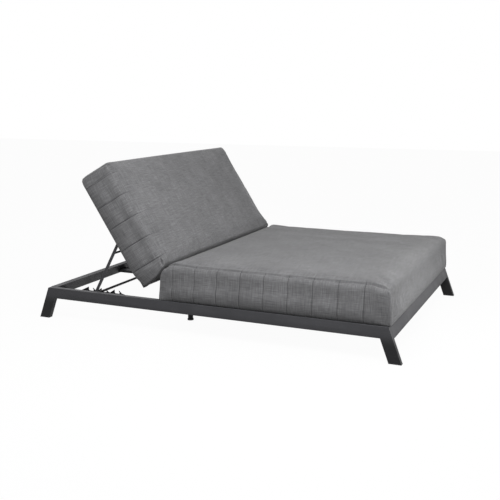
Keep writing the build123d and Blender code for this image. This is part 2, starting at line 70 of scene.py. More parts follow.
# Where the cushions lie, from the frame
SEAT_LOW, SEAT_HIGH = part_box("seat_cushion")
RECLINE = next(joint for joint in frame["joints"] if joint["name"] == "back_recline")
SHIFT = next(joint for joint in frame["joints"] if joint["name"] == "cushion_shift")
HINGE = Vector(RECLINE["pos_m"])
UP_SLOPE = Vector(SHIFT["axis"]).normalized()
OUT_OF_SLOPE = Vector((UP_SLOPE.z, 0, -UP_SLOPE.x))

# Cushion grids: extra cuts near the ends and sides, and beside each seam in seam widths
END_CUTS = (0.005, 0.011, 0.018)
SIDE_CUTS = (0.004, 0.009, 0.014, 0.019, 0.024, 0.030, 0.037)
SEAM_CUT_SHARES = (-3, -1, 0, 1, 3)
HEIGHT_STEP_SHARE = 0.8
LEAST_STEP_SHARE = 1 / 16
ROLL_BLEND = 0.006
LEAST_LENGTH = 1e-12
LAST_SEAM_MARGIN = 0.02
HELD_HEIGHT_SHARE = 0.02

# Cloth simulation
CLOTH_QUALITY = 5
CLOTH_MASS = 0.3
CLOTH_STIFFNESS = 20
CLOTH_BENDING = 0.5

# Sewing: which way a face looks to count as side, top or end, and where the seams and the crease fade
SIDE_FACING = (0.35, 0.75)
TOP_FACING = (0.35, 0.8)
END_FACING = (0.6, 0.9)
GROOVE_SHARE = 1.7
SEAM_BASE_SHARES = (-0.05, 0.12)
SEAM_END_FADE = 0.02
CREASE_START_SHARE = 2.4
CREASE_END_FADE = (0.012, 0.06)
PINCH_END_SHARE = 0.08

# Low waves over a cushion's top
WAVE_COUNT = 9
WAVE_TURNS = (0.6, 4.2)
WAVE_STRENGTHS = (0.4, 1)
WAVE_LEVEL = 3.2
WAVE_HEIGHT = 0.0022
WAVE_SIDE_FADE = (0.03, 0.12)

# Seat cushion: its size past the CAD solid, its rounds and rolls
SEAT_HALF_WIDTH = 0.7450
SEAT_REAR_REACH = 0.006
SEAT_FOOT_REACH = 0.004
SEAT_LIFT = 0.0004
SEAT_THICKNESS = 0.2005
SEAT_REAR_ROUND = 0.085
SEAT_FOOT_ROUND = 0.034
SEAT_BASE_ROUND = 0.008
SEAT_REAR_ROLL = 0.006
SEAT_FOOT_ROLL = 0.016
SEAT_BASE_ROLL = 0.006
SEAT_CROWN = 0.006
SEAT_CROWN_FADE = 0.12
SEAT_WAVE_SEED = 5
SEAT_WAVE_REAR_FADE = (0.06, 0.16)
SEAT_WAVE_FOOT_FADE = (0.02, 0.1)
SEAT_FOLD_PLACE = 0.31
SEAT_FOLD_WIDTH = 0.09
SEAT_FOLD_HEIGHT = 0.0028
SEAT_FOLD_REAR_FADE = (-0.1, 0.1)
SEAT_FOLD_FOOT_FADE = (0.03, 0.2)
SEAT_BULGE = 0.003
SEAT_DRAW = 0.008
SEAT_DRAW_SHARE = 0.4
SEAT_BULGE_DEPTH = 0.08
SEAT_BULGE_FADE = 0.1
SEAT_CORNER_REACH = 0.13
SEAT_CORNER_DROP = 0.020
SEAT_CORNER_DRAW = 0.006
SEAT_FAR_CORNER_SHARE = 0.15
SEAT_FACE_SEAM_SHARE = 0.06
SEAT_PINCHES = (
    {"start": (0.986, -0.737, 0.380), "end": (0.998, -0.742, 0.345), "width": 0.009, "depth": 0.004},
    {"start": (0.955, 0.735, 0.384), "end": (0.995, 0.738, 0.352), "width": 0.012, "depth": 0.005},
)

# Back cushion, along the slope from the hinge line, across, and out of the slope
BACK_LOW_END = 0.0766
BACK_HIGH_END = 0.7766
BACK_HALF_WIDTH = 0.7435
BACK_DECK = 0.0093
BACK_LIFT = 0.0004
BACK_THICKNESS = 0.1895
BACK_LOW_ROUND = 0.018
BACK_HIGH_ROUND = 0.030
BACK_LOW_BASE_ROUND = 0.004
BACK_HIGH_BASE_ROUND = 0.008
BACK_LOW_ROLL = 0.012
BACK_HIGH_ROLL = 0.018
BACK_BASE_ROLL = 0.005
BACK_FACE_ROLLS = (0.016, 0.052)
BACK_FACE_ROLL_FADE = (0.10, 0.26)
BACK_CROWN_ACROSS = 0.006
BACK_CROWN_ALONG = 0.007
LAP_DEPTH = 0.015
LAP_SIDE_FADE = (0.7165, 0.7225)
LAP_END_FADE = (0.01, 0.10)
BACK_WAVE_SEED = 11
BACK_WAVE_LOW_FADE = (0.05, 0.15)
BACK_WAVE_HIGH_FADE = (0.03, 0.1)
HEEL_START = 0.105
HEEL_ANGLE = math.radians(18.5)
HEEL_DRAW = 0.001
HEEL_LENGTH = 0.094
HEEL_LIFT = 0.006
HEEL_LIFT_LENGTH = 0.055
SHOULDER_ROUND = 0.045
BACK_FACE_SEAM_SHARE = 0.10
BACK_CREASE_INSET = 0.046
BACK_CREASE_SHARE = 0.45
HEEL_PLUMP = {"centre": (0.140, -0.706, 0.200), "radius": 0.034, "height": 0.007}
BACK_PINCHES = (
    {"start": (0.174, -0.735, 0.194), "end": (0.124, -0.740, 0.186), "width": 0.011, "depth": 0.014},
    {"start": (0.118, 0.700, 0.198), "end": (0.150, 0.735, 0.196), "width": 0.010, "depth": 0.006},
)

# Noise, and the places of the mix node's two colours and its result
NOISE_DETAIL = 2.0
STREAK_DETAIL = 3.0
PATCH_DETAIL = 4.0
FIRST_COLOUR = 6
SECOND_COLOUR = 7
MIXED_COLOUR = 2

# Woven cloth: how each pattern is stretched along and across, its span, and how far it shades the cloth
SLUB_STRETCH = (14, 420, 1)
YARN_STRETCH = (9, 170, 1)
MOTTLE_STRETCH = (38, 38, 1)
CLOUD_STRETCH = (5, 5, 1)
WRINKLE_STRETCH = (22, 22, 1)
MOTTLE_ROUGHNESS = 0.62
NOISE_SPAN = (0.3, 0.7)
SLUB_SPAN = (0.28, 0.72)
MOTTLE_SPAN = (0.25, 0.75)
WAVE_SPAN = (-1, 1)
SLUB_SPREAD = 0.20
YARN_ALONG_SPREAD = 0.05
YARN_ACROSS_SPREAD = 0.08
MOTTLE_SPREAD = 0.07
CLOUD_SPREAD = 0.08
WEAVE_SPREAD = 0.05
# Painted shade: the cloth's colour darkens towards the base of each side, down to BASE_SHADE over
# BASE_SHADE_HEIGHT
BASE_SHADE = 0.84
BASE_SHADE_HEIGHT = 0.15
# Painted shade: a dark line of this half-width is painted along the crease on the top, darker by each cushion's
# crease shade
CREASE_LINE = 0.007
SEAT_FACE_STITCH_SHARE = 0.05
SEAT_CREASE_SHADE = 0.18
BACK_FACE_STITCH_SHARE = 0.30
BACK_CREASE_SHADE = 0.05
FAINT_SEAM_INSET = 0.05
CLEAR_SEAM_INSETS = (0.06, 0.02)
# Painted shade: the seam grooves are painted darker, down to GROOVE_SHADE, within the GROOVE_LINE distances of a
# seam
GROOVE_LINE = (0.0008, 0.0030)
GROOVE_SHADE = 0.62
DASH_SPAN = (-0.2, 0.1)
STITCH_LINE = (0.0004, 0.0009)
STITCH_SHARE = 0.8
STITCH_RELIEF = 0.8
WEAVE_RELIEF = 0.35
RIPPLE_STITCHES = 2.5
PUCKER_LINE = (0.001, 0.012)
PUCKER_RELIEF = 0.5
CLOTH_ROUGHNESS = (0.82, 0.95)
CLOTH_SPECULAR = 0.25
CLOTH_SHEEN = 0.25
CLOTH_SHEEN_ROUGHNESS = 0.45
THREAD_RELIEF = {"Strength": 0.35, "Distance": 0.0008}
WRINKLE_RELIEF = {"Strength": 0.18, "Distance": 0.006}

# Powder coat
PATCH_SCALE = 9.0
STREAK_STRETCH = (3, 45, 45)
SCUFF_STRETCH = (8, 60, 60)
SCUFF_SPAN = (0.58, 0.78)
PATCH_SPREAD = 0.08
STREAK_SPREAD = 0.05
GRAIN_SPREAD = 0.1
# Painted shade and light by height: the coat's colour goes from the first factor near the floor to the second
# higher up
SHADE_HEIGHTS = (0.08, 0.16)
SHADE_FACTORS = (0.32, 1.36)
WORN_GAIN = 2.2
WORN_LIFT = 0.02
COAT_ROUGHNESS = 0.50
BLACK_ROUGHNESS = 0.48
COAT_WEAR = 0.10
COAT_ROUGHNESS_SPREAD = (-0.05, 0.07)
COAT_SPECULAR = 0.2
COAT_BUMP = 0.25
GRAIN_DEPTH_SHARE = 1 / 3

# Bare steel and moulded plastic
TURNING_STRETCH = (900, 60, 900)
STEEL_SHADES = (0.8, 1.1)
STEEL_ROUGHNESS = (0.28, 0.45)
STEEL_RELIEF = {"Strength": 0.15, "Distance": 0.0002}
SPARK_SCALE = 1400.0
SPARK_SHADES = (0.85, 1.15)
PLASTIC_SCUFF_SCALE = 70.0
PLASTIC_SCUFF_SPAN = (0.4, 0.75)
PLASTIC_SCUFF_SHADES = (1.0, 1.5)
PLASTIC_ROUGHNESS = (0.5, 0.68)
PLASTIC_RELIEF = {"Strength": 0.3, "Distance": 0.0003}

# Stage: where each lamp hangs, what it shines on and its two sides
KEY_LAMP = {"place": (0.9, -1.9, 2.3), "aim": (0.35, -0.3, 0.25), "size": (2.6, 1.0)}
FOOT_LAMP = {"place": (2.1, -0.1, 0.42), "aim": (1.0, -0.15, 0.31), "size": (1.4, 0.2)}
FILL_LAMP = {"place": (-2.0, 2.2, 2.2), "aim": (-0.3, 0.0, 0.3), "size": (2.5, 1.5)}
FOOT_SPREAD = math.radians(80)
SENSOR_WIDTH = 36.0
WHITE = (1, 1, 1, 1)
FLOOR_LIT = (0.2, 0.2, 0.2, 1)
FLOOR_SEEN = (0.9, 0.9, 0.9, 1)
FLOOR_GLOW_SHARE = 0.96


class LoungerCushionSettings(bpy.types.PropertyGroup):
    """Sizes and colours of the two cushions."""

    seam_pitch: FloatProperty(
        name="Seam pitch", description="Distance between two sewn channels", default=0.1325, unit="LENGTH"
    )
    seat_first_seam: FloatProperty(
        name="Seat first seam", description="From the seat cushion's rear to its first seam", default=0.077,
        unit="LENGTH",
    )
    back_first_seam: FloatProperty(
        name="Back first seam", description="From the back cushion's heel to its first seam", default=0.095,
        unit="LENGTH",
    )
    grid: FloatProperty(
        name="Grid", description="Spacing of the cloth's mesh before it is subdivided", default=0.016,
        unit="LENGTH",
    )
    seam_depth: FloatProperty(
        name="Seam depth", description="How far a seam draws the cloth in on the sides", default=0.0028,
        unit="LENGTH",
    )
    seam_width: FloatProperty(
        name="Seam width", description="Half the width of a seam's narrow groove", default=0.003,
        unit="LENGTH",
    )
    panel_puff: FloatProperty(
        name="Panel puff", description="How far a side panel stands out between two seams", default=0.0018,
        unit="LENGTH",
    )
    edge_roll: FloatProperty(
        name="Edge roll", description="Radius of the rolled edge between a side and the top", default=0.034,
        unit="LENGTH",
    )
    crease_depth: FloatProperty(
        name="Crease depth", description="Depth of the crease inside the rolled edge", default=0.0080,
        unit="LENGTH",
    )
    crease_inset: FloatProperty(
        name="Crease inset", description="From a side to the crease along the top", default=0.030,
        unit="LENGTH",
    )
    crease_width: FloatProperty(
        name="Crease width", description="Half the width of that crease", default=0.009, unit="LENGTH"
    )
    swell: FloatProperty(
        name="Swell", description="The furthest that the filling pushes the cloth out", default=0.010,
        unit="LENGTH",
    )
    pressure: FloatProperty(
        name="Pressure", description="Pressure of the filling on the cloth", default=1.5
    )
    steps: IntProperty(name="Steps", description="Frames of the cloth's settling", default=20)
    thread_pitch: FloatProperty(
        name="Thread pitch", description="Distance between two threads of the weave", default=0.0022,
        unit="LENGTH",
    )
    stitch_length: FloatProperty(
        name="Stitch length", description="Length of one stitch of a seam", default=0.006, unit="LENGTH"
    )
    cloth_colour: FloatVectorProperty(
        name="Cloth colour", description="Mid grey of the woven cover", default=(0.167, 0.167, 0.172),
        size=3, subtype="COLOR", min=0, max=1,
    )
    thread_colour: FloatVectorProperty(
        name="Thread colour", description="Darker grey of the sewing thread", default=(0.07, 0.07, 0.075),
        size=3, subtype="COLOR", min=0, max=1,
    )


class LoungerFrameSettings(bpy.types.PropertyGroup):
    """Colours and surfaces of the metal and plastic parts."""

    coat_colour: FloatVectorProperty(
        name="Powder coat", description="Charcoal of the frame's powder coat", default=(0.047, 0.047, 0.051),
        size=3, subtype="COLOR", min=0, max=1,
    )
    black_colour: FloatVectorProperty(
        name="Black paint", description="Black of the racks, the prop's bars and the hinge parts",
        default=(0.012, 0.012, 0.013), size=3, subtype="COLOR", min=0, max=1,
    )
    plastic_colour: FloatVectorProperty(
        name="Plastic", description="Black of the glides, feet, caps and bushes",
        default=(0.02, 0.02, 0.021), size=3, subtype="COLOR", min=0, max=1,
    )
    steel_colour: FloatVectorProperty(
        name="Steel", description="Bare stainless steel of pins and screws", default=(0.45, 0.45, 0.46),
        size=3, subtype="COLOR", min=0, max=1,
    )
    coat_grain: FloatProperty(
        name="Coat grain", description="Size of the powder coat's fine bumps", default=0.0012, unit="LENGTH"
    )


class LoungerStageSettings(bpy.types.PropertyGroup):
    """The floor, the lamps and the camera."""

    camera_place: FloatVectorProperty(
        name="Camera place", description="Where the camera stands", default=(1.8536, -4.3365, 1.2681),
        size=3, subtype="TRANSLATION",
    )
    camera_tilt: FloatProperty(
        name="Camera tilt", description="Down from level", default=math.radians(11.04), subtype="ANGLE"
    )
    camera_turn: FloatProperty(
        name="Camera turn", description="Round the object from its near side", default=math.radians(23.73),
        subtype="ANGLE",
    )
    camera_lens: FloatProperty(
        name="Lens", description="Focal length on a 36 mm sensor", default=56.73, unit="CAMERA"
    )
    floor_size: FloatProperty(
        name="Floor size", description="Side of the square floor", default=30.0, unit="LENGTH"
    )
    daylight: FloatProperty(
        name="Daylight", description="Strength of the even light all round", default=0.41
    )
    key_power: FloatProperty(
        name="Key power", description="Power of the soft lamp over the lounger", default=61.0, unit="POWER"
    )
    foot_power: FloatProperty(
        name="Foot power", description="Power of the low lamp beyond the foot", default=2.6, unit="POWER"
    )
    fill_power: FloatProperty(
        name="Fill power", description="Power of the soft lamp behind the lounger", default=8.0,
        unit="POWER",
    )


def spaced(low, high, step, lines, close):
    """Cuts from low to high: about a step apart, close to both ends, and at each line's own offsets."""
    fixed = {low, high}
    for offset in close:
        fixed |= {low + offset, high - offset}
    for line, offsets in lines:
        fixed |= {line + offset for offset in offsets}
    fixed = sorted(value for value in fixed if low <= value <= high)
    cuts = [fixed[0]]
    for value in fixed[1:]:
        gap = value - cuts[-1]
        if gap < step * LEAST_STEP_SHARE:
            continue
        count = max(1, round(gap / step))
        start = cuts[-1]
        cuts += [start + gap * index / count for index in range(1, count + 1)]
    return cuts


def grid_box(name, cuts):
    """A box of quads on the three lists of cuts, whose UV map holds lengths in metres over each side."""
    counts = [len(values) - 1 for values in cuts]
    index, points = {}, []

    def point(place):
        if place not in index:
            index[place] = len(points)
            points.append([cuts[axis][place[axis]] for axis in range(3)])
        return index[place]

    faces, coords = [], []
    for axis in range(3):
        first, second = [other for other in range(3) if other != axis]
        for end in (0, counts[axis]):
            for i in range(counts[first]):
                for j in range(counts[second]):
                    ring = []
                    for step_i, step_j in ((0, 0), (1, 0), (1, 1), (0, 1)):
                        place = [0, 0, 0]
                        place[axis], place[first], place[second] = end, i + step_i, j + step_j
                        ring.append(tuple(place))
                    if (end == 0) == (axis != 1):
                        ring.reverse()
                    faces.append([point(place) for place in ring])
                    for place in ring:
                        values = [cuts[other][place[other]] for other in range(3)]
                        if axis == 0:
                            coords.append((values[1] + END_SHIFT, values[2]))
                        elif axis == 1:
                            coords.append((values[0], values[2]))
                        else:
                            coords.append((values[0], values[1] + FACE_SHIFT))
    mesh = bpy.data.meshes.new(name)
    mesh.from_pydata(points, [], faces)
    layer = mesh.uv_layers.new(name=CLOTH_MAP)
    layer.data.foreach_set("uv", np.array(coords, np.float32).ravel())
    mesh.update()
    piece = bpy.data.objects.new(name, mesh)
    bpy.context.scene.collection.objects.link(piece)
    return piece


def read_points(mesh):
    """The mesh's points as an array."""
    points = np.zeros(len(mesh.vertices) * 3)
    mesh.vertices.foreach_get("co", points)
    return points.reshape(-1, 3)


def write_points(mesh, points):
    """Puts an array of points back in the mesh."""
    mesh.vertices.foreach_set("co", np.ascontiguousarray(points, np.float64).ravel())
    mesh.update()


def read_normals(mesh):
    """The mesh's point normals as an array."""
    return np.array([tuple(item.vector) for item in mesh.vertex_normals])


def square_to_round(a, b):
    """Maps the corner square of two depths to a quarter disc of the same radius."""
    reach = np.hypot(a, b)
    share = np.where(reach > 0, np.maximum(a, b) / np.maximum(reach, LEAST_LENGTH), 1)
    return a * share, b * share


def smooth(value, low, high):
    """0 below low, 1 above high, and a smooth rise between them."""
    share = np.clip((value - low) / (high - low), 0, 1)
    return share * share * (3 - 2 * share)


def ridge(distance, width):
    """1 at no distance, falling smoothly to 0 at the width."""
    share = np.clip(np.abs(distance) / width, 0, 1)
    return (1 - share * share) ** 2


def rounded(points, low, high, rolls, corners):
    """Rounds a box grid: its side edges to the rolls of low end, high end, base and top, and the four
    corners of its outline to their own radii."""
    x, y, z = points.T
    distances = np.stack([x - low[0], high[0] - x, z - low[2], high[2] - z])
    weights = 1 / (distances + ROLL_BLEND) ** 2
    wanted = np.stack([np.broadcast_to(value, x.shape) for value in rolls])
    roll = (weights * wanted).sum(axis=0) / weights.sum(axis=0)
    half = (high[1] - low[1]) / 2
    middle = (high[1] + low[1]) / 2
    side = np.sign(y - middle)
    from_side = half - np.abs(y - middle)
    from_rim = np.minimum(np.minimum(x - low[0], high[0] - x), np.minimum(z - low[2], high[2] - z))
    a = np.maximum(0, roll - from_side)
    b = np.maximum(0, roll - from_rim)
    new_a, new_b = square_to_round(a, b)
    y = np.where((a > 0) & (b > 0), middle + side * (half - roll + new_a), y)
    sink = np.where((a > 0) & (b > 0), roll - new_b, from_rim)
    sink = np.maximum(sink, 0)
    x = np.clip(x, low[0] + sink, high[0] - sink)
    z = np.clip(z, low[2] + sink, high[2] - sink)
    for x_end, z_end, radius in corners:
        x_rim, z_rim = (high[0] if x_end > 0 else low[0]), (high[2] if z_end > 0 else low[2])
        a = np.maximum(0, radius - x_end * (x_rim - x))
        b = np.maximum(0, radius - z_end * (z_rim - z))
        new_a, new_b = square_to_round(a, b)
        inside = (a > 0) & (b > 0)
        x = np.where(inside, x_rim - x_end * (radius - new_a), x)
        z = np.where(inside, z_rim - z_end * (radius - new_b), z)
    return np.stack([x, y, z], axis=1)


def seam_places(first, pitch, low, high):
    """The seams' places along a cushion whose first seam lies a distance past its low end."""
    count = int((high - low - first - pitch / 4) / pitch) + 1
    return [low + first + pitch * index for index in range(count)]


def settle(piece, height, sizes):
    """Swells a cushion with a cloth simulation, at most as far as the swell allows, with its base held."""
    start = read_points(piece.data)
    group = piece.vertex_groups.new(name="held")
    group.add([index for index, share in enumerate(height) if share < HELD_HEIGHT_SHARE], 1.0, "REPLACE")
    cloth = piece.modifiers.new("Cloth", "CLOTH")
    cloth.settings.quality = CLOTH_QUALITY
    cloth.settings.mass = CLOTH_MASS
    cloth.settings.tension_stiffness = CLOTH_STIFFNESS
    cloth.settings.compression_stiffness = CLOTH_STIFFNESS
    cloth.settings.bending_stiffness = CLOTH_BENDING
    cloth.settings.use_pressure = True
    cloth.settings.uniform_pressure_force = sizes.pressure
    cloth.settings.effector_weights.gravity = 0
    cloth.settings.vertex_group_mass = group.name
    cloth.settings.pin_stiffness = 1
    cloth.collision_settings.use_collision = False
    cloth.point_cache.frame_start = 1
    cloth.point_cache.frame_end = sizes.steps
    for number in range(1, sizes.steps + 1):
        bpy.context.scene.frame_set(number)
    swollen = piece.evaluated_get(bpy.context.evaluated_depsgraph_get())
    moved = read_points(swollen.to_mesh()) - start
    swollen.to_mesh_clear()
    piece.modifiers.remove(cloth)
    piece.vertex_groups.remove(group)
    bpy.context.scene.frame_set(1)
    length = np.linalg.norm(moved, axis=1)[:, None]
    cap = sizes.swell * np.tanh(length / sizes.swell)
    write_points(piece.data, start + moved * cap / np.maximum(length, LEAST_LENGTH))


def subdivide_once(piece):
    """One level of subdivision, applied."""
    bpy.ops.object.select_all(action="DESELECT")
    bpy.context.view_layer.objects.active = piece
    piece.select_set(True)
    finer = piece.modifiers.new("Finer", "SUBSURF")
    finer.levels = finer.render_levels = 1
    finer.uv_smooth = "NONE"
    bpy.ops.object.modifier_apply(modifier=finer.name)
    bpy.ops.object.shade_smooth()


def sew(piece, low, high, seams, sizes, face_share, crease_inset, crease_share):
    """Draws the seams in, puffs the panels between them, and lays the crease inside the rolled edges."""
    points = read_points(piece.data)
    normals = read_normals(piece.data)
    x, y, z = points.T
    half = (high[1] - low[1]) / 2
    from_side = half - np.abs(y)
    height = (z - low[2]) / (high[2] - low[2])
    on_side = smooth(np.abs(normals[:, 1]), *SIDE_FACING)
    on_top = smooth(normals[:, 2], *TOP_FACING)
    on_end = smooth(np.abs(normals[:, 0]), *END_FACING)
    nearest = np.min(np.abs(x[:, None] - np.array(seams)[None, :]), axis=1)
    groove = ridge(nearest, sizes.seam_width * GROOVE_SHARE)
    between = np.clip(nearest / (sizes.seam_pitch / 2), 0, 1)
    puff = np.sqrt(np.clip(1 - (1 - between) ** 2, 0, 1))
    inside = smooth(x, low[0], low[0] + SEAM_END_FADE) * smooth(high[0] - x, 0, SEAM_END_FADE)
    strength = on_side + (1 - on_side) * face_share
    strength *= (1 - on_end) * smooth(height, *SEAM_BASE_SHARES)
    move = (sizes.panel_puff * (puff - 1 / 2) - sizes.seam_depth * groove) * strength * inside
    crease = ridge(from_side - crease_inset, sizes.crease_width) * on_top
    fade = smooth(x - low[0], SEAM_END_FADE, SEAM_END_FADE * CREASE_START_SHARE)
    fade *= smooth(high[0] - x, *CREASE_END_FADE)
    move -= sizes.crease_depth * crease_share * crease * fade
    points += normals * move[:, None]
    write_points(piece.data, points)


def pinch(piece, start, end, width, depth):
    """Presses a short fold into the cloth along a line between two points."""
    points = read_points(piece.data)
    normals = read_normals(piece.data)
    start, line = np.array(start), np.array(end) - np.array(start)
    share = np.clip((points - start) @ line / (line @ line), 0, 1)
    distance = np.linalg.norm(points - start - share[:, None] * line, axis=1)
    taper = np.sqrt(np.sin(np.pi * (PINCH_END_SHARE + (1 - 2 * PINCH_END_SHARE) * share)))
    points -= normals * (depth * ridge(distance, width) * taper)[:, None]
    write_points(piece.data, points)


def plump(piece, centre, radius, height):
    """Raises a soft mound of cloth round a point."""
    points = read_points(piece.data)
    distance = np.linalg.norm(points - np.array(centre), axis=1)
    points += read_normals(piece.data) * (height * ridge(distance, radius))[:, None]
    write_points(piece.data, points)


def soft_waves(points, low, high, seed):
    """Long low waves over a cushion's top, from a few seeded sines."""
    source = np.random.default_rng(seed)
    x = (points[:, 0] - low[0]) / (high[0] - low[0])
    y = (points[:, 1] - low[1]) / (high[1] - low[1])
    total = np.zeros(len(points))
    for _ in range(WAVE_COUNT):
        along, across = source.uniform(*WAVE_TURNS, 2)
        start_x, start_y = source.uniform(0, 2 * math.pi, 2)
        total += source.uniform(*WAVE_STRENGTHS) * np.sin(2 * math.pi * along * x + start_x) * np.sin(
            2 * math.pi * across * y + start_y
        )
    return total / WAVE_LEVEL * WAVE_HEIGHT


def link_or_set(tree, socket, value):
    """Joins a socket to another, or sets its own value."""
    if isinstance(value, bpy.types.NodeSocket):
        tree.links.new(value, socket)
    else:
        socket.default_value = value


def node(tree, kind, inputs=None, **settings):
    """A shader node with its settings and its inputs, by name or place."""
    made = tree.nodes.new(kind)
    for key, value in settings.items():
        setattr(made, key, value)
    for key, value in (inputs or {}).items():
        link_or_set(tree, made.inputs[key], value)
    return made


def math_node(tree, operation, *values):
    """The result of one sum on sockets and numbers."""
    made = node(tree, "ShaderNodeMath", operation=operation)
    for place, value in enumerate(values):
        link_or_set(tree, made.inputs[place], value)
    return made.outputs[0]


def ramp(tree, value, low, high, to_low=0.0, to_high=1.0):
    """A value carried smoothly from one range to another."""
    made = node(
        tree, "ShaderNodeMapRange",
        {"Value": value, "From Min": low, "From Max": high, "To Min": to_low, "To Max": to_high},
        interpolation_type="SMOOTHSTEP",
    )
    return made.outputs["Result"]


def noise(tree, vector, scale, detail=NOISE_DETAIL, roughness=0.5):
    """Noise of a scale on a vector."""
    made = node(
        tree, "ShaderNodeTexNoise",
        {"Vector": vector, "Scale": scale, "Detail": detail, "Roughness": roughness},
    )
    return made.outputs["Fac"]


def stretched(tree, vector, scale):
    """A vector scaled by three numbers."""
    return node(tree, "ShaderNodeMapping", {"Vector": vector, "Scale": scale}).outputs["Vector"]


def new_material(name):
    """An empty material with its shader, and its node tree."""
    material = bpy.data.materials.new(name)
    material.use_nodes = True
    tree = material.node_tree
    tree.nodes.clear()
    shader = tree.nodes.new("ShaderNodeBsdfPrincipled")
    output = tree.nodes.new("ShaderNodeOutputMaterial")
    tree.links.new(shader.outputs["BSDF"], output.inputs["Surface"])
    return material, tree, shader


def shaded_colour(tree, colour, factor):
    """A plain colour multiplied by a changing factor, as a socket."""
    grey = node(tree, "ShaderNodeCombineColor", {0: factor, 1: factor, 2: factor}).outputs[0]
    return mixed_colour(tree, 1.0, (*colour, 1), grey, "MULTIPLY")


def mixed_colour(tree, factor, first, second, blend="MIX"):
    """Two colours mixed by a factor, as a socket."""
    colours = {0: factor, FIRST_COLOUR: first, SECOND_COLOUR: second}
    made = node(tree, "ShaderNodeMix", colours, data_type="RGBA", blend_type=blend)
    return made.outputs[MIXED_COLOUR]


def shaded(tree, factor, value, spread, span=NOISE_SPAN):
    """A factor made darker and lighter by a spread as a value goes over its span."""
    return math_node(tree, "MULTIPLY", factor, ramp(tree, value, *span, 1 - spread, 1 + spread))


def crossed(stretch):
    """The same stretch turned across."""
    return (stretch[1], stretch[0], stretch[2])


def seams_in(tree, along, across, on_face, from_middle, first_seam, half_width, face_share, sizes):
    """How far a point lies from the nearest seam, and how strongly seams show there."""
    place = math_node(tree, "SUBTRACT", along, first_seam - sizes.seam_pitch / 2)
    within = math_node(tree, "WRAP", place, sizes.seam_pitch, 0.0)
    from_seam = math_node(tree, "ABSOLUTE", math_node(tree, "SUBTRACT", within, sizes.seam_pitch / 2))
    off_end = math_node(tree, "LESS_THAN", along, END_SHIFT / 2)
    start, stop = CLEAR_SEAM_INSETS
    faint = ramp(tree, from_middle, 0.0, half_width - FAINT_SEAM_INSET, 0.0, face_share)
    clear = ramp(tree, from_middle, half_width - start, half_width - stop, 0.0, 1.0 - face_share)
    fading = math_node(tree, "MULTIPLY", on_face, math_node(tree, "ADD", faint, clear))
    shown = math_node(tree, "ADD", math_node(tree, "SUBTRACT", 1.0, on_face), fading)
    return from_seam, math_node(tree, "MULTIPLY", off_end, shown)


